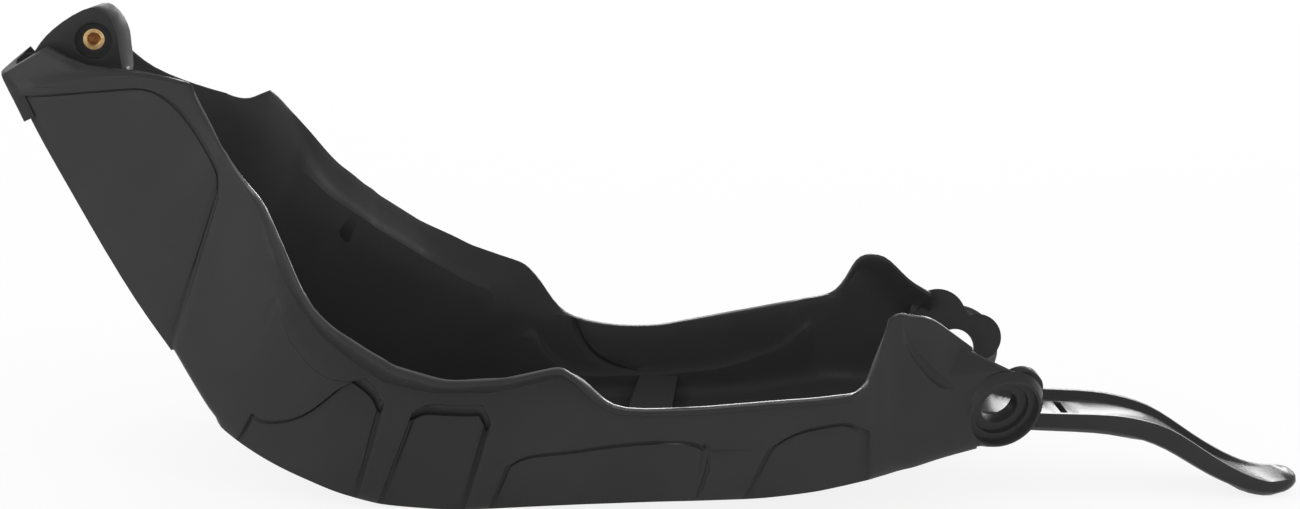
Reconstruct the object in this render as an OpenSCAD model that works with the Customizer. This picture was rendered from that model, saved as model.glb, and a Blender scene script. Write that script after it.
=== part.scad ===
// Motorcycle skid plate with a linkage guard: one moulded shell and one brass insert.
// X runs to the rear of the motorcycle, Y to its right, Z up. The shell stands on its base and on its tail.

/* [Shell] */
// length of the side walls from the nose to the rear lugs
wall_length = 454; // [430:1:480]
// height of the nose above the base
nose_height = 178.5; // [165:0.5:190]
// width across the flared lips
lip_width = 228; // [205:1:245]
// thickness of the moulding
wall_t = 4.6; // [3.6:0.1:5.4]
// thickness of the flared lip at its rim
rim_t = 3.4; // [2.6:0.1:4]
// height of the bevel between base and walls
corner_size = 7; // [5:0.5:9]
// depth of the sunk panels
panel_depth = 1.3; // [0.8:0.1:1.8]
// depth of the groove around each panel
groove_depth = 2; // [1.4:0.1:2.4]
// depth of the pockets at the top of two panels
pocket_depth = 3.4; // [2.2:0.1:3.6]
// how far the bulge under each lip stands out
bulge_depth = 1.6; // [0.6:0.1:2.4]
// extra thickness of the inner ledge in the rear half
ledge_t = 3; // [1.5:0.1:4]

/* [Nose] */
// how far the bar on the nose stands proud
bar_proud = 3; // [2:0.5:6]
// thickness of the front lug
front_lug_t = 14; // [12:0.5:18]
// diameter of the recess around the insert
recess_d = 17; // [14:0.5:19]
// depth of the recess around the insert
recess_depth = 4; // [2.5:0.5:5]

/* [Insert] */
// outside diameter of the brass insert
insert_d = 9.6; // [8:0.1:11]
// length of the brass insert
insert_length = 8; // [6:0.5:8.5]
// bore of the brass insert, for an M6 thread
insert_bore_d = 5.2; // [4.2:0.1:6.8]

/* [Rear lugs] */
// greatest outside diameter of a rear lug
lug_d = 42.5; // [40:0.5:44]
// outside diameter of a rear lug's face
lug_face_d = 37; // [36:0.5:39]
// outside diameter of a rear lug at its root
lug_root_d = 31; // [28:0.5:35]
// height of the taper below a rear lug's face
lug_edge = 4; // [3:0.5:6]
// length of a rear lug along its axis
lug_length = 14; // [12:0.5:17]
// bore of a rear lug
lug_bore_d = 18; // [14:0.5:22]
// diameter of the outer counterbore
lug_step_d = 34; // [31:0.5:35]
// depth of the outer counterbore
lug_step_depth = 4; // [2.5:0.5:5]
// diameter of the inner counterbore
lug_ledge_d = 27; // [25:0.5:29]
// depth of the inner counterbore below the outer one
lug_ledge_depth = 2.5; // [1.5:0.5:3.5]
// turn of a lug towards the rear
lug_toe = 12; // [8:0.5:15]
// turn of a lug's outer face downwards
lug_camber = 16; // [12:0.5:19]

/* [Tail] */
// length of the tail behind the side walls
tail_length = 174; // [160:1:190]
// width of the tail at its root
tail_width = 44; // [38:0.5:50]
// depth of the channel along the tail
channel_depth = 3; // [1.5:0.1:3.6]
// length of the slot across the tail
slot_length = 17; // [12:0.5:22]
// width of the slot across the tail
slot_width = 3.6; // [2.5:0.1:5]

/* [Hidden] */
$fn = 72;

// sections of the shell as measured: x, z at the base line, lean of the section above the X axis
spine = [
    [-253, 178.5, 37], [-250.5, 175.5, 16], [-248.5, 172.5, 17], [-246.5, 169.5, 13],
    [-235.5, 150, 25], [-221, 128, 38.5], [-205, 103.5, 53.5], [-190.2, 83, 66],
    [-174.5, 64.3, 76.5], [-167.8, 54.6, 75.5], [-161.2, 45, 75.5], [-156, 37.8, 73.5],
    [-150.4, 32.2, 70], [-143.2, 27.2, 68.5], [-132.6, 21.1, 69], [-121, 15.6, 71.5],
    [-109.5, 11.1, 74], [-99.5, 7.2, 77], [-90, 4.4, 80], [-79, 1.8, 75],
    [-67, 0.6, 76], [-54, 0, 77.5], [-41, 0, 79.5], [-28.5, 1.2, 74],
    [-16, 2.3, 77], [-4.5, 3.3, 79.5], [5.5, 4.1, 82], [16, 5, 85],
    [27, 5.9, 88], [45.5, 7.5, 87.5], [66, 8.7, 83], [87.5, 10.2, 70.5],
    [103, 11.8, 71], [119.5, 14.4, 76.5], [133, 17.4, 87], [148, 20.3, 98.5],
    [151.7, 21.1, 98], [155.7, 21.8, 98], [159.3, 22.4, 98], [164, 23.2, 97.5],
    [170, 24, 97], [180, 26.5, 96.5], [190, 29, 96.5], [201, 31.5, 97]
];

// half widths in the same sections: at the foot of the wall, at the crease, at the rim
spans = [
    [9, 14, 14], [13, 26, 26], [17, 40, 40], [18, 50, 50],
    [23, 52, 52], [30, 54, 54], [38, 57, 57], [46, 60, 60],
    [54, 62, 62], [58, 67, 69], [61.5, 72, 78], [64, 76, 87],
    [66.5, 80, 96], [69, 82, 102], [72, 84, 108], [74, 86, 111],
    [75.5, 86, 113], [76, 86, 114], [76, 86, 114], [76, 86, 114],
    [76, 86, 113], [76, 86, 111], [76.5, 85, 107], [77, 83, 97],
    [77, 83, 92], [77, 83, 88], [77, 83, 86], [77, 83, 85],
    [77.5, 83, 84], [78, 83, 84], [78, 83, 84], [78, 82, 83],
    [78, 82, 83], [77.5, 81, 82], [76.5, 80, 81], [73, 78, 79],
    [71.5, 76, 77], [70, 75, 76], [68, 72.5, 72], [66, 70, 69],
    [64, 67.5, 64.5], [60.5, 64.5, 57.5], [58, 61.5, 51.5], [55.5, 58.5, 47.5]
];

// heights in the same sections: left crease, left rim, right crease, right rim, top of the panel
heights = [
    [18, 22, 6, 8, 14], [33, 35, 21, 23, 20], [51.5, 56.5, 41, 44, 36], [72.5, 75.5, 44, 48, 57.5],
    [71.5, 73, 47.5, 51, 64.5], [70.5, 72.5, 56, 60, 66.5], [75, 76.5, 69, 72, 71], [81.5, 83.5, 81, 83.5, 77.5],
    [91.5, 93.5, 94, 96, 82], [91.5, 95, 97, 103.5, 66], [92.5, 98.5, 97.5, 116.5, 52], [83, 94, 95.5, 115.5, 40],
    [75.5, 85.5, 93.5, 111, 31], [71, 79.5, 91, 106.5, 15.5], [66, 77.5, 88, 102.5, 20], [64.5, 77.5, 87, 101, 33],
    [62, 76.5, 85.5, 98.5, 56.5], [61, 76.5, 85, 98, 57.5], [59.5, 75.5, 83.5, 96.5, 54.5], [60, 75, 78, 90.5, 54.5],
    [60, 74.5, 73.5, 87, 54.5], [61, 75.5, 69, 83.5, 54.5], [61, 74.5, 64, 79.5, 52.5], [66, 77, 59, 76.5, 29],
    [67, 73.5, 55, 72, 28.5], [63, 66, 50.5, 63.5, 28.5], [56.5, 58, 47, 53.5, 29], [49.5, 51.5, 44.5, 46.5, 30],
    [45, 46.5, 40.5, 42.5, 31], [44.5, 46, 37, 38.5, 32], [46, 47.5, 38.5, 40, 31], [51, 52.5, 47, 49, 33],
    [51, 52.5, 49, 51, 38], [48.5, 50, 48, 50, 36.5], [45, 47.5, 45.5, 47, 34], [48, 50, 45, 46.5, 30],
    [56.5, 58, 45.5, 47, 22], [65, 67, 46.5, 48, 22], [72, 74.5, 47, 48.5, 22], [73, 76, 53, 55.5, 22],
    [59, 73, 63.5, 66.5, 22], [45, 67.5, 51, 67.5, 22], [35.5, 57, 36.5, 55, 22], [31, 46, 31, 46.5, 22]
];

// first and last section of each sunk panel
panels = [[3, 8.1], [13, 18.2], [19, 22.15], [23, 30.02], [31, 35]];
// sections where the inner ledge starts, is full, stays full and ends, with its height at each
ledge_run = [[25, 44], [26, 30], [27, 21], [28, 16], [30, 16], [31, 20], [33, 27], [35, 36]];
// tail sections as measured: x, top, half width, thickness, channel
tail_rows = [
    [186, 33.4, 17, 2, 0], [208, 39.2, 20, 7, 0], [222, 40, 21, 8.5, 0.4], [232, 40.2, 22, 9, 1],
    [245, 40.2, 22, 9, 1], [268, 40.5, 21.5, 9.5, 1], [280, 40, 21, 10.5, 1], [291, 38.2, 20.5, 11.3, 1],
    [303, 35, 20, 12.4, 1], [315, 28.6, 19.5, 12.6, 1], [327, 21, 18.5, 11.6, 1], [339, 14.6, 17.5, 10.2, 1],
    [349, 10.3, 16.5, 8.9, 0.5], [357, 7.9, 15.5, 7.9, 0.1], [365, 7.6, 14, 7.6, 0], [371, 8.8, 11.5, 7.4, 0],
    [375, 9, 7, 5, 0]
];
// outline of the front lug as measured, in x and z
lug_outline = [
    [-247, 176.5], [-240, 190], [-236.5, 195.5], [-229.5, 202.5], [-219.5, 209.3], [-214.5, 210.2],
    [-211.3, 208.6], [-207, 204.3], [-203.8, 197], [-203.8, 192.5], [-201.5, 183], [-203, 172], [-232.5, 152]
];

last_row = len(spine) - 1;
measured_length = spine[last_row][0] - spine[0][0];
measured_half_lip = 114;
sx = wall_length / measured_length;
sy = lip_width / (2 * measured_half_lip);
sz = nose_height / spine[0][1];
front_x = spine[0][0];
rear_x = spine[last_row][0];
tail_sx = tail_length / (tail_rows[len(tail_rows) - 1][0] - rear_x);
corner_drop = 5;
corner_run = 6;
corner_slope = 0.42;
groove_w = 1.2;
groove_flank = 0.6;
pocket_h = 5;
rim_crown = 0.3;
// sections where the pockets are cut, and the bulge under each lip with its lower edge
pocket_run = [[15.9, 0], [16.2, 1], [22.3, 1], [22.6, 0]];
bulge_run = [[11.4, 0], [11.9, 1], [16.2, 1], [16.7, 0]];
bulge_edge = [[8, 87], [10, 85], [11, 77], [12, 65.7], [13, 55.7], [14, 50.8], [15, 49.4], [16, 52.8], [16.7, 58]];

// the front of the bar and the tip of the tail bound the part along X
bar_rows = [0, 1, 2, 3, 3.55];
function place_x(x) = (x - front_x) * sx;
function tail_x(x) = place_x(rear_x) + (x - rear_x) * tail_sx;
function bar_point(s, off) =
    let (r = row(spine, s))
    [place_x(r[0]) - off * cos(29), r[1] * sz + off * sin(29) * -1];
least_x = min([for (s = bar_rows) bar_point(s, bar_proud)[0]]);
most_x = tail_x(tail_rows[len(tail_rows) - 1][0]);
centre_x = (least_x + most_x) / 2;

// smooth value of a table at a section number between its rows
function blend(a, b, c, d, t) =
    0.5 * ((2 * b) + (c - a) * t + (2 * a - 5 * b + 4 * c - d) * t * t + (3 * b - a - 3 * c + d) * t * t * t);
function row(table, s) =
    let (n = len(table) - 1, i = min(floor(s), n - 1), t = s - i)
    blend(table[max(i - 1, 0)], table[i], table[i + 1], table[min(i + 2, n)], t);
// straight value of a list of pairs at a section number
function along(pairs, s) = lookup(s, pairs);

function unit(v) = v / norm(v);
function inward(u) = [-u[1], u[0]];
function to_centre(s) = [place_x(row(spine, s)[0]), row(spine, s)[1] * sz];
function lean(s) = row(spine, s)[2];
// a point of a section, from its distance across and its height
function lift(s, yh) =
    let (p = to_centre(s), a = lean(s))
    [p[0] + yh[1] * cos(a), yh[0], p[1] + yh[1] * sin(a)];

// distance in mm along the spine between two neighbouring sections
function spacing(i) = norm(to_centre(i + 1) - to_centre(i));
// distance in mm from the nearest edge of a panel at a section number; 0 outside the panels
function inside_panel(s) = max([for (p = panels)
    min((s - p[0]) * spacing(p[0]), (p[1] - s) * spacing(floor(p[1])))]);
// depth of groove and panel at a distance from the panel's edge
function sunk_depth(d) = lookup(d, [
    [0, 0], [groove_flank, groove_depth], [groove_flank + groove_w, groove_depth],
    [2 * groove_flank + groove_w, panel_depth]
]);
function panel_top(s) = row(heights, s)[4] - corner_drop * max(0, 1 - inside_panel(s) / corner_run);

// middle of a lip, a little hollow on its upper side
function lip_middle(rim, crease) = (rim + crease) / 2 + [0.04, -0.03] * (rim[0] - crease[0]);
// the lip's direction from crease to rim, and the way inward from it
function lip_way(rim, crease) = unit(rim - crease);
// outer edge of the rim: lower than its inner edge where the lip is flared
function rim_edge(rim, crease) = rim - [0, rim_t * inward(lip_way(rim, crease))[1]];

// outer line of one side in a section, from the rim down to the middle; side is 0 left or 1 right
function outer_side(s, side) =
    let (
        w = row(spans, s) * sy, h = row(heights, s),
        crease = [w[1], h[side * 2]], rim = [w[2], h[side * 2 + 1]],
        cs = min(corner_size, 0.3 * w[0]),
        way = inside_panel(s), d = sunk_depth(way), sunk = way > 0 ? 1 : 0,
        low = sunk * along(pocket_run, s),
        deep = d > 0 ? groove_depth + (pocket_depth - groove_depth) * low : 0,
        top = max(cs + pocket_h + 4, min(panel_top(s), crease[1] - 3)),
        under = top - groove_flank - groove_w - (pocket_h - groove_w) * low,
        slope = (crease[0] - w[0]) / crease[1],
        out = bulge_depth * along(bulge_run, s),
        foot = s > bulge_edge[0][0] && s < 16.7 ? min(along(bulge_edge, s), crease[1] - 2) : (crease[1] + top) / 2
    )
    [
        rim_edge(rim, crease),
        lip_middle(rim_edge(rim, crease), crease),
        crease,
        [w[0] + slope * (foot + 1) + out, foot + 1],
        [w[0] + slope * foot, foot],
        [w[0] + slope * top, top],
        [w[0] + slope * (top - groove_flank) - min(d, deep), top - groove_flank],
        [w[0] + slope * under - deep * sunk, under],
        [w[0] + slope * (under - groove_flank) - d, under - groove_flank],
        [w[0] + slope * cs - d, cs],
        [w[0] - (sunk > 0 ? 0.5 * (corner_slope * cs + d) : 0.12 * cs), sunk > 0 ? 0.5 * cs : 0.35 * cs],
        [w[0] - corner_slope * cs, 0],
        [0, 0]
    ];

// inner line of one side, the moulding's thickness inside the plain outer line
function inner_side(s, side) =
    let (
        w = row(spans, s) * sy, h = row(heights, s),
        crease = [w[1], h[side * 2]], rim = [w[2], h[side * 2 + 1]],
        slope = (crease[0] - w[0]) / crease[1],
        lip = inward(lip_way(rim, crease)), wall = inward(unit([slope, 1])),
        both = unit(lip + wall) / max(0.6, unit(lip + wall) * wall),
        e = s <= ledge_run[0][0] || s >= 35 ? 0 : ledge_t * min(1, s - 25, 35 - s),
        step = min(crease[1] - 6, max(wall_t + 8, along(ledge_run, s))),
        f = min(5, 0.4 * (w[0] - wall_t - e)),
        foot = w[0] - wall_t - e
    )
    [
        rim_edge(rim, crease) + rim_t * lip,
        lip_middle(rim_edge(rim, crease), crease) + (rim_t + wall_t) / 2 * lip,
        crease + wall_t * both,
        [w[0] + slope * (crease[1] + 2 * step) / 3, (crease[1] + 2 * step) / 3] + wall_t * wall,
        [w[0] + slope * step, step] + wall_t * wall,
        [w[0] + slope * (step - 1.5), step - 1.5] + (wall_t + e) * wall,
        [w[0] + slope * (2 * step + wall_t + f) / 3, (2 * step + wall_t + f) / 3] + (wall_t + e) * wall,
        [w[0] + slope * (step + 2 * wall_t + 2 * f) / 3, (step + 2 * wall_t + 2 * f) / 3] + (wall_t + e) * wall,
        [foot + slope * (wall_t + f), wall_t + f],
        [foot - 0.29 * f + slope * wall_t, wall_t + 0.29 * f],
        [foot - f, wall_t],
        [(foot - f) / 2, wall_t],
        [0, wall_t]
    ];
// crown of the rim, between its outer and inner edges
function rim_top(s, side) =
    let (
        w = row(spans, s) * sy, h = row(heights, s),
        crease = [w[1], h[side * 2]], rim = [w[2], h[side * 2 + 1]], way = lip_way(rim, crease)
    )
    rim_edge(rim, crease) + rim_t / 2 * inward(way) + rim_crown * rim_t * way;

function flip(line) = [for (p = line) [-p[0], p[1]]];
function backwards(line) = [for (i = [len(line) - 1:-1:0]) line[i]];
function but_last(line) = [for (i = [0:len(line) - 2]) line[i]];
// full outline of a section: left crown, inner line to the right, right crown, outer line back
function section(s) =
    let (
        outer = concat(flip(outer_side(s, 0)), backwards(but_last(outer_side(s, 1)))),
        inner = concat(flip(inner_side(s, 0)), backwards(but_last(inner_side(s, 1))))
    )
    [for (p = concat(flip([rim_top(s, 0)]), inner, [rim_top(s, 1)], backwards(outer))) lift(s, p)];

// section numbers: every row, half rows where the shape bends, and both flanks of each groove
bends = concat([for (i = [8:1:18]) i + 0.5], [for (i = [39:1:42]) i + 0.5]);
plain_stops = concat([for (i = [0:1:last_row]) i], bends);
flanks = [groove_flank, groove_flank + groove_w, 2 * groove_flank + groove_w, corner_run];
edge_stops = [for (p = panels) for (f = flanks) each [p[0] + f / spacing(p[0]), p[1] - f / spacing(floor(p[1]))]];
function sorted(v) =
    len(v) < 2 ? v :
    let (m = v[floor(len(v) / 2)])
    concat(sorted([for (x = v) if (x < m) x]), [m], sorted([for (x = v) if (x > m) x]));
// two sections that nearly meet are made one
function thinned(v) = [for (i = [0:1:len(v) - 1]) if (i == 0 || v[i] - v[i - 1] > 0.02) v[i]];
stops = thinned(sorted(concat(plain_stops, edge_stops, [for (p = panels) p[1]])));

// closed solid through a list of rings; point j of a ring faces point n-j across the material
function ring_faces(rings, n) = concat(
    [for (i = [0:rings - 2]) for (j = [0:n - 1]) each [
        [i * n + j, i * n + (j + 1) % n, (i + 1) * n + (j + 1) % n],
        [i * n + j, (i + 1) * n + (j + 1) % n, (i + 1) * n + j]
    ]],
    end_faces(0, n, false),
    end_faces((rings - 1) * n, n, true)
);
// closes a ring with a strip between its two long sides
function end_faces(first, n, turned) =
    let (strip = concat(
        [[0, 1, n - 1]],
        [for (j = [1:n / 2 - 2]) each [[j, n - 1 - j, n - j], [j, j + 1, n - 1 - j]]],
        [[n / 2 - 1, n / 2, n / 2 + 1]]
    ))
    [for (t = strip) turned ? [first + t[0], first + t[1], first + t[2]] : [first + t[0], first + t[2], first + t[1]]];
module through(rings) {
    polyhedron(
        points = [for (r = rings) each r],
        faces = ring_faces(len(rings), len(rings[0])),
        convexity = 8
    );
}

module shell() {
    through([for (s = stops) section(s)]);
}

// bar across the nose, following its narrow front
module nose_bar() {
    through([for (s = bar_rows)
        let (w = (row(spans, s)[0] - 1.2) * sy, a = bar_point(s, bar_proud), b = bar_point(s, -wall_t / 2))
        [[b[0], -w, b[1]], [b[0], w, b[1]], [a[0], w, a[1]], [a[0], -w, a[1]]]
    ]);
}

// point of the measured nose outline, in place
function at_nose(p) = [place_x(p[0]), p[1] * sz];
insert_at = at_nose([-214.7, 194.6]);
lug_slant = 5.5;
lug_set_in = 2.5;
lug_set_down = 3;
lug_face_y = -front_lug_t / 2;
insert_y = lug_face_y + recess_depth;

// front lug standing in the middle of the nose
module front_lug() {
    n = len(lug_outline);
    polyhedron(
        points = concat(
            [for (p = lug_outline) [at_nose(p)[0], lug_face_y, at_nose(p)[1]]],
            [for (p = lug_outline) at_nose(p)[0] > insert_at[0] - recess_d / 2 ?
                [at_nose(p)[0] + lug_slant, -lug_face_y, at_nose(p)[1]] :
                [at_nose(p)[0] + lug_set_in, -lug_face_y, at_nose(p)[1] - lug_set_down]]
        ),
        faces = concat(
            [[for (i = [0:n - 1]) i]],
            [[for (i = [n - 1:-1:0]) n + i]],
            [for (i = [0:n - 1]) each [
                [i, n + i, (i + 1) % n],
                [(i + 1) % n, n + i, n + (i + 1) % n]
            ]]
        ),
        convexity = 4
    );
}

// shelf that closes the top of the nose, as measured: x, y, z of its upper corners, with its thickness
shelf_corners = [[-196, -37, 185.5, 4], [-203, 41, 176, 4], [-238, 12, 183, 4], [-236, -12, 184, 4]];
// ramp from the floor to the right wall, in the same form
ramp_corners = [[48, 40, 14.4, 3], [70, 40, 15.6, 3.5], [77, 72, 24, 11], [58, 72, 24, 12]];
module slab(corners) {
    upper = [for (p = corners) [place_x(p[0]), p[1] * sy, p[2] * sz]];
    lower = [for (i = [0:3]) upper[i] - [0, 0, corners[i][3]]];
    polyhedron(
        points = concat(upper, lower),
        faces = concat(
            [[0, 2, 1], [0, 3, 2], [4, 5, 6], [4, 6, 7]],
            [for (i = [0:3]) each [[i, (i + 1) % 4, i + 4], [(i + 1) % 4, (i + 1) % 4 + 4, i + 4]]]
        )
    );
}

// turns the Y axis of the left side into the axis of a lug, then mirrors it for the right
lug_inner = [place_x(209.2), 41.9 * sy, 53.5 * sz];
module on_lug(side) {
    mirror([0, side, 0])
        translate([lug_inner[0], -lug_inner[1], lug_inner[2]])
            rotate([0, 90 + lug_camber, lug_toe - 90])
                children();
}

// ear behind each lug and shoulder in front of the right one: down, rearward, radius and thickness
lug_ear = [-6, 10.5, 11.5, 5];
lug_shoulder = [-14, -10, 14, 5];
module lug_boss(b, sides = $fn) {
    translate([b[0], b[1], 0]) cylinder(r = b[2], h = b[3], $fn = sides);
}
module lug_body() {
    cylinder(d1 = lug_root_d, d2 = lug_d, h = lug_length - lug_edge);
    lug_boss(lug_ear);
    translate([0, 0, lug_length - lug_edge]) cylinder(d1 = lug_d, d2 = lug_face_d, h = lug_edge);
}
web_core_d = 26;
web_t = 5;
// web from the end of a side wall to its lug
module lug_web(side) {
    hull() {
        on_lug(side) translate([0, 0, 1]) cylinder(d = web_core_d, h = web_t, $fn = 20);
        if (side == 1) on_lug(side) lug_boss(lug_shoulder, 28);
        mirror([0, 1 - side, 0])
            for (s = [last_row - 0.4, last_row - 0.02]) for (h = [8, 0.92 * heights[last_row][1 + 2 * side]])
                translate(lift(s, [row(spans, s)[0] * sy - wall_t, h])) cube([1, 4, 1]);
    }
}

function tail_ring(r) =
    let (
        x = tail_x(r[0]), w = r[2] * tail_width / 44, z = r[1] * sz, t = r[3],
        c = channel_depth * r[4], k = min(2.5, 0.4 * t)
    )
    [
        [x, -w, z], [x, -w + 3, z], [x, -w + 5, z - c], [x, 0, z - c],
        [x, w - 5, z - c], [x, w - 3, z], [x, w, z],
        [x, w, z - t + k], [x, w - k, z - t], [x, w / 2, z - t], [x, 0, z - t],
        [x, -w / 2, z - t], [x, -w + k, z - t], [x, -w, z - t + k]
    ];
module tail() {
    through([for (r = tail_rows) tail_ring(r)]);
}

module skid_plate() {
    color([0.16, 0.16, 0.17])
    translate([-centre_x, 0, 0])
    difference() {
        union() {
            shell();
            nose_bar();
            front_lug();
            tail();
            slab(shelf_corners);
            slab(ramp_corners);
            for (side = [0, 1]) {
                on_lug(side) lug_body();
                lug_web(side);
            }
        }
        for (side = [0, 1]) on_lug(side) {
            translate([0, 0, -20]) cylinder(d = lug_bore_d, h = lug_length + 40);
            translate([0, 0, lug_length - lug_step_depth - lug_ledge_depth])
                cylinder(d = lug_ledge_d, h = 20);
            translate([0, 0, lug_length - lug_step_depth]) cylinder(d = lug_step_d, h = 20);
        }
        translate([insert_at[0], insert_y, insert_at[1]]) rotate([90, 0, 0])
            cylinder(d = recess_d, h = front_lug_t);
        translate([insert_at[0], insert_y + insert_length, insert_at[1]]) rotate([90, 0, 0])
            cylinder(d = insert_d, h = front_lug_t + insert_length);
        translate([tail_x(252), -slot_length / 2, 20 * sz])
            cube([slot_width, slot_length, 40 * sz]);
    }
}

module front_insert() {
    color([0.78, 0.6, 0.28])
    translate([-centre_x, 0, 0])
    translate([insert_at[0], insert_y + insert_length, insert_at[1]]) rotate([90, 0, 0])
        difference() {
            cylinder(d = insert_d, h = insert_length);
            translate([0, 0, -1]) cylinder(d = insert_bore_d, h = insert_length + 2);
        }
}

skid_plate();
front_insert();
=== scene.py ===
import math
import bpy
from mathutils import Matrix, Vector


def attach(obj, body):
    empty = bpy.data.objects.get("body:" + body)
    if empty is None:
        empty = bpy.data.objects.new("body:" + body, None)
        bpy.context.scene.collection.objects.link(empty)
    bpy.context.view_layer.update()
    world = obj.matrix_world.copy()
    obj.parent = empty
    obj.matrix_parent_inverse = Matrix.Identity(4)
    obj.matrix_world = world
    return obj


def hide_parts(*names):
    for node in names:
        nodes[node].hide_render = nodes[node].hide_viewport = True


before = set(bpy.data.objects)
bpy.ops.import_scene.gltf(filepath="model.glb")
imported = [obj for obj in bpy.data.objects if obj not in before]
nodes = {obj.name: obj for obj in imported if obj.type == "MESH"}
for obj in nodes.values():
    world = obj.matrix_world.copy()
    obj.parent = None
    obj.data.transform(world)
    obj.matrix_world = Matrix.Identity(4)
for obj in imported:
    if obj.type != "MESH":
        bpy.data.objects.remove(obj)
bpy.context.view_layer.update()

print("frame loaded:", sorted(nodes))

# lengths in metres, angles in degrees
mesh = dict(mergeGap=0.00002, creaseMergeGap=0.00001, bevelSegments=4, curveOrder=3, ballSegments=40, ballRings=20)


def deselectAll():
    if bpy.context.object and bpy.context.object.mode != "OBJECT":
        bpy.ops.object.mode_set(mode="OBJECT")
    bpy.ops.object.select_all(action="DESELECT")


def pick(obj):
    deselectAll()
    obj.select_set(True)
    bpy.context.view_layer.objects.active = obj


def copyOfNode(node, name):
    obj = nodes[node].copy()
    obj.data = nodes[node].data.copy()
    obj.name = name
    obj.modifiers.clear()
    bpy.context.scene.collection.objects.link(obj)
    pick(obj)
    bpy.ops.object.mode_set(mode="EDIT")
    bpy.ops.mesh.select_all(action="SELECT")
    bpy.ops.mesh.remove_doubles(threshold=mesh["mergeGap"])
    bpy.ops.object.mode_set(mode="OBJECT")
    return obj


def cutWith(obj, cutter):
    # takes the cutter's shape out of a piece, then removes the cutter
    pick(obj)
    mod = obj.modifiers.new("cut", "BOOLEAN")
    mod.operation = "DIFFERENCE"
    mod.solver = "MANIFOLD"
    mod.object = cutter
    bpy.ops.object.modifier_apply(modifier=mod.name)
    bpy.data.objects.remove(cutter)


def joinTo(obj, part):
    # adds a form to a piece, so that both are one skin
    pick(obj)
    mod = obj.modifiers.new("join", "BOOLEAN")
    mod.operation = "UNION"
    mod.solver = "MANIFOLD"
    mod.object = part
    bpy.ops.object.modifier_apply(modifier=mod.name)
    bpy.data.objects.remove(part)


def roundEdges(obj, width, segments, angle):
    pick(obj)
    mod = obj.modifiers.new("round", "BEVEL")
    mod.limit_method = "ANGLE"
    mod.angle_limit = math.radians(angle)
    mod.width = width
    mod.segments = segments
    mod.use_clamp_overlap = True
    bpy.ops.object.modifier_apply(modifier=mod.name)


def smoothForm(obj, joinAngle, keepAngle):
    # turns the flat facets into a moulded surface; edges sharper than keepAngle stay edges
    pick(obj)
    bpy.ops.object.mode_set(mode="EDIT")
    bpy.ops.mesh.select_all(action="SELECT")
    bpy.ops.mesh.tris_convert_to_quads(face_threshold=math.radians(joinAngle),
                                       shape_threshold=math.radians(joinAngle))
    bpy.ops.mesh.select_mode(type="EDGE")
    bpy.ops.mesh.select_all(action="DESELECT")
    bpy.ops.mesh.edges_select_sharp(sharpness=math.radians(keepAngle))
    bpy.ops.transform.edge_crease(value=1)
    bpy.ops.object.mode_set(mode="OBJECT")
    mod = obj.modifiers.new("smooth", "SUBSURF")
    mod.levels = mod.render_levels = 1
    bpy.ops.object.modifier_apply(modifier=mod.name)


def finish(obj, material, replaced, smoothAngle):
    pick(obj)
    bpy.ops.object.shade_smooth_by_angle(angle=math.radians(smoothAngle))
    obj.data.materials.clear()
    obj.data.materials.append(material)
    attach(obj, "root")
    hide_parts(replaced)


grainLook = dict(roughness=0.6, fineDetail=3, broadDetail=2)


# grain that the mould leaves: a height for the bump, and a slow change for tone and gloss
def grainGroup():
    g = bpy.data.node_groups.new("mouldGrain", "ShaderNodeTree")
    for name in ("Fine Scale", "Broad Scale"):
        g.interface.new_socket(name, in_out="INPUT", socket_type="NodeSocketFloat")
    for name in ("Height", "Mottle"):
        g.interface.new_socket(name, in_out="OUTPUT", socket_type="NodeSocketFloat")
    n, l = g.nodes, g.links
    gin, gout = n.new("NodeGroupInput"), n.new("NodeGroupOutput")
    coord = n.new("ShaderNodeTexCoord")
    for scaleName, outName, detail in (("Fine Scale", "Height", grainLook["fineDetail"]),
                                       ("Broad Scale", "Mottle", grainLook["broadDetail"])):
        noise = n.new("ShaderNodeTexNoise")
        noise.inputs["Detail"].default_value = detail
        noise.inputs["Roughness"].default_value = grainLook["roughness"]
        l.new(coord.outputs["Object"], noise.inputs["Vector"])
        l.new(gin.outputs[scaleName], noise.inputs["Scale"])
        l.new(noise.outputs["Fac"], gout.inputs[outName])
    return g


def addGrain(tree, fineScale, broadScale):
    node = tree.nodes.new("ShaderNodeGroup")
    node.node_tree = grain
    node.inputs["Fine Scale"].default_value = fineScale
    node.inputs["Broad Scale"].default_value = broadScale
    return node


def mapTo(tree, source, low, high, toLow, toHigh):
    node = tree.nodes.new("ShaderNodeMapRange")
    for name, value in (("From Min", low), ("From Max", high), ("To Min", toLow), ("To Max", toHigh)):
        node.inputs[name].default_value = value
    tree.links.new(source, node.inputs["Value"])
    return node.outputs["Result"]


# the rim tone and its share paint a pale highlight into the colour along the left rim's crest
plasticLook = dict(dark=(0.0285, 0.0285, 0.0289), light=(0.0345, 0.0345, 0.0345), mottleLow=0.2, mottleHigh=0.8,
                   roughLow=0.35, roughHigh=0.42, ior=1.45, specular=0.15,
                   grainScale=1500, broadScale=22, grainHeight=0.00003,
                   tailGloss=0.18, tailStart=0.150, tailFull=0.175,
                   lipRough=0.34, lipStart=0.084, lipFull=0.092,
                   rimHighlightTone=(0.14, 0.14, 0.14), rimHighlightShare=0.7, rimCoatRough=0.12, rimCoatIor=1.6)


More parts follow.
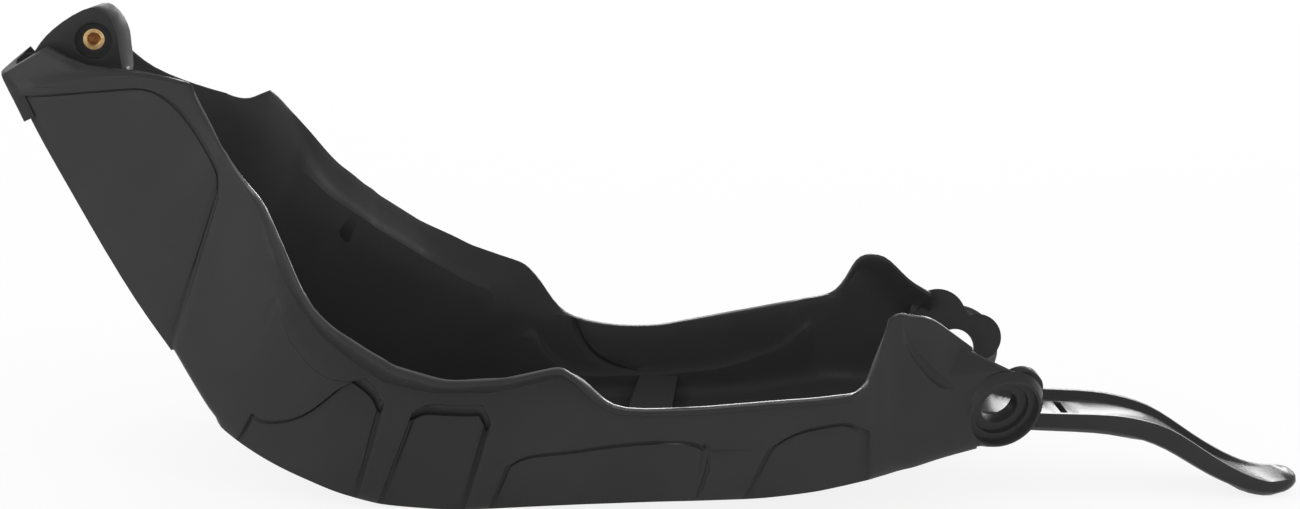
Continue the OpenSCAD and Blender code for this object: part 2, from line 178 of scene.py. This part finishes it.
def makePlastic():
    m = bpy.data.materials.new("mouldedPlastic")
    m.use_nodes = True
    t = m.node_tree
    n, l = t.nodes, t.links
    bsdf = n["Principled BSDF"]
    g = addGrain(t, plasticLook["grainScale"], plasticLook["broadScale"])
    tone = n.new("ShaderNodeValToRGB")
    tone.color_ramp.elements[0].position = plasticLook["mottleLow"]
    tone.color_ramp.elements[1].position = plasticLook["mottleHigh"]
    tone.color_ramp.elements[0].color = (*plasticLook["dark"], 1)
    tone.color_ramp.elements[1].color = (*plasticLook["light"], 1)
    l.new(g.outputs["Mottle"], tone.inputs["Fac"])
    # the left rim gets a glossy coat, and along its crest the colour is painted paler as a painted highlight
    rim, rimHighlight, share = n.new("ShaderNodeAttribute"), n.new("ShaderNodeMix"), n.new("ShaderNodeMath")
    rim.attribute_name = "rimLine"
    share.operation = "MULTIPLY"
    share.inputs[1].default_value = plasticLook["rimHighlightShare"]
    rimHighlight.data_type = "RGBA"
    rimHighlight.inputs["B"].default_value = (*plasticLook["rimHighlightTone"], 1)
    l.new(rim.outputs["Fac"], share.inputs[0])
    l.new(share.outputs[0], rimHighlight.inputs["Factor"])
    l.new(rim.outputs["Fac"], bsdf.inputs["Coat Weight"])
    bsdf.inputs["Coat Roughness"].default_value = plasticLook["rimCoatRough"]
    bsdf.inputs["Coat IOR"].default_value = plasticLook["rimCoatIor"]
    l.new(tone.outputs["Color"], rimHighlight.inputs["A"])
    l.new(rimHighlight.outputs["Result"], bsdf.inputs["Base Color"])
    rough = mapTo(t, g.outputs["Mottle"], plasticLook["mottleLow"], plasticLook["mottleHigh"],
                  plasticLook["roughLow"], plasticLook["roughHigh"])
    # the tail came out of the mould glossier than the rest
    coord, split, less = n.new("ShaderNodeTexCoord"), n.new("ShaderNodeSeparateXYZ"), n.new("ShaderNodeMath")
    less.operation = "SUBTRACT"
    l.new(coord.outputs["Object"], split.inputs[0])
    gloss = mapTo(t, split.outputs["X"], plasticLook["tailStart"], plasticLook["tailFull"], 0, plasticLook["tailGloss"])
    l.new(rough, less.inputs[0])
    l.new(gloss, less.inputs[1])
    # the inside of the right lip is duller
    dull = mapTo(t, split.outputs["Y"], plasticLook["lipStart"], plasticLook["lipFull"], 0, plasticLook["lipRough"])
    more = n.new("ShaderNodeMath")
    l.new(less.outputs[0], more.inputs[0])
    l.new(dull, more.inputs[1])
    l.new(more.outputs[0], bsdf.inputs["Roughness"])
    bump = n.new("ShaderNodeBump")
    bump.inputs["Distance"].default_value = plasticLook["grainHeight"]
    l.new(g.outputs["Height"], bump.inputs["Height"])
    l.new(bump.outputs["Normal"], bsdf.inputs["Normal"])
    bsdf.inputs["IOR"].default_value = plasticLook["ior"]
    bsdf.inputs["Specular IOR Level"].default_value = plasticLook["specular"]
    return m


# the bore's brown tone and its depth range paint shade into the bore further in
brassLook = dict(fresh=(0.80, 0.56, 0.27), dull=(0.58, 0.36, 0.15), mottleLow=0.3, mottleHigh=0.62,
                 boreShadeTone=(0.30, 0.10, 0.03), boreShadeStart=-0.0026, boreShadeFull=-0.0010, boreShadeShare=0.9,
                 fineLow=0.3, fineHigh=0.7, roughLow=0.22, roughHigh=0.38,
                 ringScale=1400, ringHeight=0.00002, fineScale=2600, broadScale=420)


def makeBrass(axisPlace):
    m = bpy.data.materials.new("insertBrass")
    m.use_nodes = True
    t = m.node_tree
    n, l = t.nodes, t.links
    bsdf = n["Principled BSDF"]
    bsdf.inputs["Metallic"].default_value = 1
    g = addGrain(t, brassLook["fineScale"], brassLook["broadScale"])
    tone = n.new("ShaderNodeValToRGB")
    tone.color_ramp.elements[0].position = brassLook["mottleLow"]
    tone.color_ramp.elements[1].position = brassLook["mottleHigh"]
    tone.color_ramp.elements[0].color = (*brassLook["dull"], 1)
    tone.color_ramp.elements[1].color = (*brassLook["fresh"], 1)
    l.new(g.outputs["Mottle"], tone.inputs["Fac"])
    # further in, the bore is painted dark brown: painted shade inside the blind hole
    spot, split, boreShade = n.new("ShaderNodeTexCoord"), n.new("ShaderNodeSeparateXYZ"), n.new("ShaderNodeMix")
    boreShade.data_type = "RGBA"
    boreShade.inputs["B"].default_value = (*brassLook["boreShadeTone"], 1)
    l.new(spot.outputs["Object"], split.inputs[0])
    depth = mapTo(t, split.outputs["Y"], brassLook["boreShadeStart"], brassLook["boreShadeFull"], 0, brassLook["boreShadeShare"])
    l.new(depth, boreShade.inputs["Factor"])
    l.new(tone.outputs["Color"], boreShade.inputs["A"])
    l.new(boreShade.outputs["Result"], bsdf.inputs["Base Color"])
    rough = mapTo(t, g.outputs["Height"], brassLook["fineLow"], brassLook["fineHigh"],
                  brassLook["roughLow"], brassLook["roughHigh"])
    l.new(rough, bsdf.inputs["Roughness"])
    # turning marks: fine rings round the insert's axis
    coord, centre, rings = n.new("ShaderNodeTexCoord"), n.new("ShaderNodeMapping"), n.new("ShaderNodeTexWave")
    centre.inputs["Location"].default_value = [-c for c in axisPlace]
    rings.wave_type = "RINGS"
    rings.rings_direction = "Y"
    rings.inputs["Scale"].default_value = brassLook["ringScale"]
    bump = n.new("ShaderNodeBump")
    bump.inputs["Distance"].default_value = brassLook["ringHeight"]
    l.new(coord.outputs["Object"], centre.inputs["Vector"])
    l.new(centre.outputs["Vector"], rings.inputs["Vector"])
    l.new(rings.outputs["Fac"], bump.inputs["Height"])
    l.new(bump.outputs["Normal"], bsdf.inputs["Normal"])
    return m


insert = dict(node="front_insert", place=(-0.27439, 0.001, 0.1946), radius=0.0048, length=0.008, bore=0.00310,
              ridge=0.00036, ridgeSteps=36, endWall=0.0006, cone=0.0019, coneLonger=1.02, coneMiddle=0.49,
              pitch=0.001, chamfer=0.00035, chamferSegments=2, chamferAngle=50, smoothAngle=40, sides=64)
grain = grainGroup()
plastic = makePlastic()
brass = makeBrass(insert["place"])
print("materials made")

# places and directions on the left side; y changes sign on the right
moulding = dict(node="skid_plate", joinAngle=40, keepAngle=44, smoothAngle=36,
                edgeWidth=0.00045, edgeSegments=2, edgeAngle=42)
lug = dict(root=(0.1495, -0.0419, 0.0535), axis=(0.200, -0.940, -0.2756), length=0.014, sides=96,
           overcut=0.02, bore=0.00912, ledge=0.01362, ledgeFrom=0.00742, step=0.01712, stepFrom=0.00992)
fairing = dict(wall=((0.1285, -0.0522, 0.0788), (0.1330, -0.0503, 0.0787), (0.1478, -0.0572, 0.0717),
                     (0.1256, -0.0563, 0.0742), (0.1222, -0.0608, 0.0688), (0.1229, -0.0616, 0.0575),
                     (0.1248, -0.0601, 0.0425), (0.1296, -0.0582, 0.0350), (0.1336, -0.0560, 0.0325)),
               wallInset=0.0035, ringRadius=0.0206, ringHeight=0.0090, rootRadius=0.0165, rootHeight=0.002,
               ringAngles=(98, 75, 50, 25, 0, -25, -50, -75, -95))
valley = dict(place=(0.1101, -0.0769, 0.0836), along=(0.603, 0.159, -0.782), size=(0.029, 0.013, 0.013))
# soft lines cut into the skin; ends are the radius at the first and last point as a share of the full one
creases = dict(
    panelEnd=dict(radius=0.0012, sides=(1, -1), ends=(0.7, 0.8), points=(
        (0.0070, -0.0811, 0.0378), (0.0088, -0.0808, 0.0368), (0.0102, -0.0804, 0.0345),
        (0.0110, -0.0790, 0.0307), (0.0098, -0.0778, 0.0206), (0.0074, -0.0759, 0.0105))),
    belowPeak=dict(radius=0.0032, sides=(1,), ends=(0.3, 0.2), points=(
        (0.0969, -0.0699, 0.0950), (0.1020, -0.0686, 0.0850), (0.1080, -0.0672, 0.0770), (0.1147, -0.0654, 0.0698),
        (0.1222, -0.0634, 0.0645), (0.1290, -0.0618, 0.0625))),
    innerWall=dict(radius=0.0017, sides=(-1,), ends=(0.2, 0.2), points=(
        (-0.0380, -0.0784, 0.0540), (-0.0360, -0.0780, 0.0490), (-0.0325, -0.0770, 0.0402), (-0.0249, -0.0759, 0.0315),
        (-0.0140, -0.0753, 0.0262), (-0.0010, -0.0750, 0.0245))))
rimLine = dict(start=-0.235, end=0.128, inset=0.030, stepLength=0.007, upright=0.45, full=0.0004, faint=0.0014)
mark = dict(place=(-0.1499, 0.0803, 0.0876), facing=(0.04, -0.992, 0.124), lean=(-0.7, -0.06, -0.7), tilt=28,
            lift=0.0008, radius=0.0040, depth=0.008, sides=48)


def addRound(radius, depth, sides, place, along):
    deselectAll()
    turn = Vector(along).to_track_quat("Z", "Y").to_euler()
    bpy.ops.mesh.primitive_cylinder_add(vertices=sides, radius=radius, depth=depth, location=place, rotation=turn)
    bpy.ops.object.transform_apply(location=True, rotation=True, scale=True)
    return bpy.context.object


def onSide(point, side):
    return Vector((point[0], point[1] * side, point[2]))


def addFairing(obj, side):
    # fills the corner between the end of a side wall and its lug
    axis = onSide(lug["axis"], side).normalized()
    root = onSide(lug["root"], side)
    front = (Vector((-1, 0, 0)) + axis * axis.x).normalized()
    up = axis.cross(front) * side
    if up.z < 0:
        up = -up
    points = []
    for p in fairing["wall"]:
        p = onSide(p, side)
        points += [p, p + Vector((0, fairing["wallInset"] * side, 0))]
    for angle in fairing["ringAngles"]:
        way = front * math.cos(math.radians(angle)) + up * math.sin(math.radians(angle))
        points.append(root + axis * fairing["ringHeight"] + way * fairing["ringRadius"])
        points.append(root + axis * fairing["rootHeight"] + way * fairing["rootRadius"])
    deselectAll()
    bpy.ops.mesh.primitive_plane_add(size=0.01)
    patch = bpy.context.object
    patch.data.clear_geometry()
    patch.data.from_pydata(points, [], [])
    bpy.ops.object.mode_set(mode="EDIT")
    bpy.ops.mesh.select_all(action="SELECT")
    bpy.ops.mesh.convex_hull()
    bpy.ops.object.mode_set(mode="OBJECT")
    joinTo(obj, patch)
    # the bore and its two steps are opened again through the fairing
    rounds = ((lug["bore"], -lug["overcut"]), (lug["ledge"], lug["ledgeFrom"]), (lug["step"], lug["stepFrom"]))
    for radius, start in rounds:
        depth = lug["length"] + lug["overcut"] - start
        cutWith(obj, addRound(radius, depth, lug["sides"], root + axis * (start + depth / 2), axis))


def addValley(obj):
    # the soft hollow that runs down from the left peak towards the lug
    deselectAll()
    turn = Vector(valley["along"]).to_track_quat("X", "Z").to_euler()
    bpy.ops.mesh.primitive_uv_sphere_add(segments=mesh["ballSegments"], ring_count=mesh["ballRings"], radius=1,
                                         location=valley["place"], rotation=turn)
    ball = bpy.context.object
    ball.scale = valley["size"]
    bpy.ops.object.transform_apply(location=True, rotation=True, scale=True)
    cutWith(obj, ball)


def addCreases(obj):
    for name, crease in creases.items():
        for side in crease["sides"]:
            deselectAll()
            curve = bpy.data.curves.new(name, "CURVE")
            curve.dimensions = "3D"
            curve.bevel_depth = crease["radius"]
            curve.bevel_resolution = mesh["bevelSegments"]
            curve.use_fill_caps = True
            spline = curve.splines.new("NURBS")
            spline.points.add(len(crease["points"]) - 1)
            last = len(crease["points"]) - 1
            for i, place in enumerate(crease["points"]):
                spline.points[i].co = (*onSide(place, side), 1)
                spline.points[i].radius = crease["ends"][0] if i == 0 else crease["ends"][1] if i == last else 1
            spline.use_endpoint_u = True
            spline.order_u = mesh["curveOrder"]
            line = bpy.data.objects.new(name, curve)
            bpy.context.scene.collection.objects.link(line)
            pick(line)
            bpy.ops.object.convert(target="MESH")
            bpy.ops.object.mode_set(mode="EDIT")
            bpy.ops.mesh.select_all(action="SELECT")
            bpy.ops.mesh.remove_doubles(threshold=mesh["creaseMergeGap"])
            bpy.ops.mesh.normals_make_consistent(inside=False)
            bpy.ops.object.mode_set(mode="OBJECT")
            cutWith(obj, line)


def addMark(obj):
    # the small crescent that the mould leaves on the inside of the right wall
    tilt = math.radians(mark["tilt"])
    axis = Vector(mark["facing"]).normalized() * math.cos(tilt) + Vector(mark["lean"]).normalized() * math.sin(tilt)
    axis.normalize()
    middle = Vector(mark["place"]) + axis * (mark["lift"] + mark["depth"] / 2)
    cutWith(obj, addRound(mark["radius"], mark["depth"], mark["sides"], middle, axis))


def markRim(obj):
    # finds the crest of the left rim and stores how near a point is to it; the plastic gives these points a glossy coat
    # and a painted highlight
    layer = obj.data.attributes.new("rimLine", "FLOAT", "POINT")
    steps = int((rimLine["end"] - rimLine["start"]) / rimLine["stepLength"])
    crest = [None] * (steps + 1)
    rimSide = [v for v in obj.data.vertices if v.co.y < -rimLine["inset"] and v.normal.z > rimLine["upright"]
               and rimLine["start"] < v.co.x < rimLine["end"]]
    for v in rimSide:
        i = int((v.co.x - rimLine["start"]) / rimLine["stepLength"])
        if crest[i] is None or v.co.z > crest[i].z:
            crest[i] = v.co.copy()
    crest = [c for c in crest if c]
    for v in rimSide:
        gap = 1
        for a, b in zip(crest, crest[1:]):
            along = max(0, min(1, (v.co - a).dot(b - a) / max((b - a).length_squared, 1e-12)))
            gap = min(gap, (v.co - a.lerp(b, along)).length)
        layer.data[v.index].value = max(0, min(1, (rimLine["faint"] - gap) / (rimLine["faint"] - rimLine["full"])))


def makeMoulding():
    obj = copyOfNode(moulding["node"], "skidPlate")
    smoothForm(obj, moulding["joinAngle"], moulding["keepAngle"])
    print("moulding smoothed:", len(obj.data.polygons), "faces")
    addFairing(obj, 1)
    addValley(obj)
    addCreases(obj)
    addMark(obj)
    roundEdges(obj, moulding["edgeWidth"], moulding["edgeSegments"], moulding["edgeAngle"])
    markRim(obj)
    finish(obj, plastic, moulding["node"], moulding["smoothAngle"])
    return obj


skidPlate = makeMoulding()
print("moulding made:", len(skidPlate.data.polygons), "faces")


def makeThread():
    # a three-sided ridge wound along the straight part of the bore
    turns = round((insert["length"] - insert["endWall"] - insert["cone"]) / insert["pitch"]) - 1
    deselectAll()
    bpy.ops.mesh.primitive_circle_add(vertices=3, radius=insert["ridge"], fill_type="NGON",
                                      rotation=(math.pi / 2, 0, 0))
    ridge = bpy.context.object
    bpy.ops.object.transform_apply(location=True, rotation=True, scale=True)
    bpy.ops.object.mode_set(mode="EDIT")
    bpy.ops.mesh.select_all(action="SELECT")
    bpy.ops.transform.rotate(value=math.radians(90), orient_axis="Y", center_override=(0, 0, 0))
    bpy.ops.transform.translate(value=(insert["bore"], 0, 0))
    bpy.ops.object.mode_set(mode="OBJECT")
    pick(ridge)
    mod = ridge.modifiers.new("wind", "SCREW")
    mod.axis = "Z"
    mod.screw_offset = insert["pitch"]
    mod.iterations = turns
    mod.steps = mod.render_steps = insert["ridgeSteps"]
    mod.use_merge_vertices = False
    bpy.ops.object.modifier_apply(modifier=mod.name)
    ridge.rotation_euler = (math.pi / 2, 0, 0)
    shift = turns * insert["pitch"] - insert["length"] / 2 + insert["pitch"]
    ridge.location = Vector(insert["place"]) + Vector((0, shift, 0))
    bpy.ops.object.transform_apply(location=True, rotation=True, scale=True)
    bpy.ops.object.mode_set(mode="EDIT")
    bpy.ops.mesh.select_all(action="SELECT")
    bpy.ops.mesh.normals_make_consistent(inside=False)
    bpy.ops.object.mode_set(mode="OBJECT")
    return ridge


def makeInsert():
    along = (0, 1, 0)
    body = addRound(insert["radius"], insert["length"], insert["sides"], insert["place"], along)
    body.name = "threadedInsert"
    # the bore is blind and ends in the cone that a drill leaves
    flatEnd = insert["place"][1] + insert["length"] / 2 - insert["endWall"] - insert["cone"]
    x, _, z = insert["place"]
    cutWith(body, addRound(insert["bore"], insert["length"] * 2, insert["sides"],
                           (x, flatEnd - insert["length"], z), along))
    deselectAll()
    bpy.ops.mesh.primitive_cone_add(vertices=insert["sides"], radius1=insert["bore"], radius2=0,
                                    depth=insert["cone"] * insert["coneLonger"],
                                    location=(x, flatEnd + insert["cone"] * insert["coneMiddle"], z),
                                    rotation=(-math.pi / 2, 0, 0))
    bpy.ops.object.transform_apply(location=True, rotation=True, scale=True)
    cutWith(body, bpy.context.object)
    roundEdges(body, insert["chamfer"], insert["chamferSegments"], insert["chamferAngle"])
    ridge = makeThread()
    pick(body)
    ridge.select_set(True)
    bpy.ops.object.join()
    finish(body, brass, insert["node"], insert["smoothAngle"])
    return body


threadedInsert = makeInsert()
print("insert made:", len(threadedInsert.data.polygons), "faces")

studio = dict(floorSize=9, floorHeight=-0.0005, floorTone=(0.9, 0.9, 0.9), floorRough=0.9, floorWhite=0.86,
              worldTone=0.85, whiteTo=0.2, dimFrom=0.36, ceilingTone=0.3, aim=(0, 0, 0.08))
lamps = dict(keyLamp=dict(place=(-2.3, -1.1, 1.1), size=2.2, height=2.2, power=26),
             fillLamp=dict(place=(1.6, -2.4, 1.4), size=2.6, height=2.6, power=3),
             rimLamp=dict(place=(0.5, 2.8, 0.66), size=2.1, height=0.8, power=24))


def addLamp(name, place, size, height, power):
    deselectAll()
    bpy.ops.object.light_add(type="AREA", location=place)
    lamp = bpy.context.object
    lamp.name = name
    lamp.data.shape = "ELLIPSE"
    lamp.data.size = size
    lamp.data.size_y = height
    lamp.data.energy = power
    lamp.visible_camera = False
    lamp.rotation_euler = (Vector(studio["aim"]) - Vector(place)).to_track_quat("-Z", "Y").to_euler()


def plainlySeen(tree):
    # 1 for what the camera, a gloss or a glass sees; 0 for light that falls on matt faces
    n, l = tree.nodes, tree.links
    path = n.new("ShaderNodeLightPath")
    seen = path.outputs["Is Camera Ray"]
    for name in ("Is Glossy Ray", "Is Transmission Ray"):
        most = n.new("ShaderNodeMath")
        most.operation = "MAXIMUM"
        l.new(seen, most.inputs[0])
        l.new(path.outputs[name], most.inputs[1])
        seen = most.outputs[0]
    return seen


def makeWorld():
    w = bpy.data.worlds.new("studioWorld")
    bpy.context.scene.world = w
    w.use_nodes = True
    n, l = w.node_tree.nodes, w.node_tree.links
    n.clear()
    out, mix = n.new("ShaderNodeOutputWorld"), n.new("ShaderNodeMixShader")
    l.new(plainlySeen(w.node_tree), mix.inputs["Fac"])
    # the camera sees white all round; a gloss sees a dim ceiling above the backdrop
    coord, split = n.new("ShaderNodeTexCoord"), n.new("ShaderNodeSeparateXYZ")
    l.new(coord.outputs["Generated"], split.inputs[0])
    white = mapTo(w.node_tree, split.outputs["Z"], studio["whiteTo"], studio["dimFrom"], 1, studio["ceilingTone"])
    for index, strength in ((1, studio["worldTone"]), (2, 1)):
        back = n.new("ShaderNodeBackground")
        back.inputs["Color"].default_value = (1, 1, 1, 1)
        back.inputs["Strength"].default_value = strength
        if index == 2:
            path, most = n.new("ShaderNodeLightPath"), n.new("ShaderNodeMath")
            most.operation = "MAXIMUM"
            l.new(path.outputs["Is Camera Ray"], most.inputs[0])
            l.new(white, most.inputs[1])
            l.new(most.outputs[0], back.inputs["Strength"])
        l.new(back.outputs[0], mix.inputs[index])
    l.new(mix.outputs[0], out.inputs["Surface"])


def makeFloor():
    deselectAll()
    bpy.ops.mesh.primitive_plane_add(size=studio["floorSize"], location=(0, 0, studio["floorHeight"]))
    floor = bpy.context.object
    floor.name = "studioFloor"
    m = bpy.data.materials.new("floorPaper")
    m.use_nodes = True
    t = m.node_tree
    n, l = t.nodes, t.links
    bsdf, out = n["Principled BSDF"], n["Material Output"]
    bsdf.inputs["Base Color"].default_value = (*studio["floorTone"], 1)
    bsdf.inputs["Roughness"].default_value = studio["floorRough"]
    white, mix, share = n.new("ShaderNodeEmission"), n.new("ShaderNodeMixShader"), n.new("ShaderNodeMath")
    share.operation = "MULTIPLY"
    share.inputs[1].default_value = studio["floorWhite"]
    l.new(plainlySeen(t), share.inputs[0])
    l.new(share.outputs[0], mix.inputs["Fac"])
    l.new(bsdf.outputs[0], mix.inputs[1])
    l.new(white.outputs[0], mix.inputs[2])
    l.new(mix.outputs[0], out.inputs["Surface"])
    floor.data.materials.append(m)


makeWorld()
makeFloor()
for lampName, lamp in lamps.items():
    addLamp(lampName, **lamp)

# the photo's camera: where it stands and which way its frame is turned
view = dict(lens=93.32, sensor=36, place=(-0.23823, -1.52121, 0.49921), right=(0.98886, -0.12652, 0.07836),
            up=(-0.04364, 0.25687, 0.96546), forward=(0.14228, 0.95813, -0.24849))


def addCamera():
    cam = bpy.data.cameras.new("photoCamera")
    obj = bpy.data.objects.new("photoCamera", cam)
    bpy.context.scene.collection.objects.link(obj)
    cam.sensor_width = view["sensor"]
    cam.sensor_fit = "HORIZONTAL"
    cam.lens = view["lens"]
    back = -Vector(view["forward"])
    turn = Matrix((Vector(view["right"]), Vector(view["up"]), back)).transposed().to_4x4()
    obj.matrix_world = Matrix.Translation(view["place"]) @ turn
    bpy.context.scene.camera = obj


addCamera()
bpy.context.scene.view_settings.view_transform = "Standard"
print("studio and camera placed")
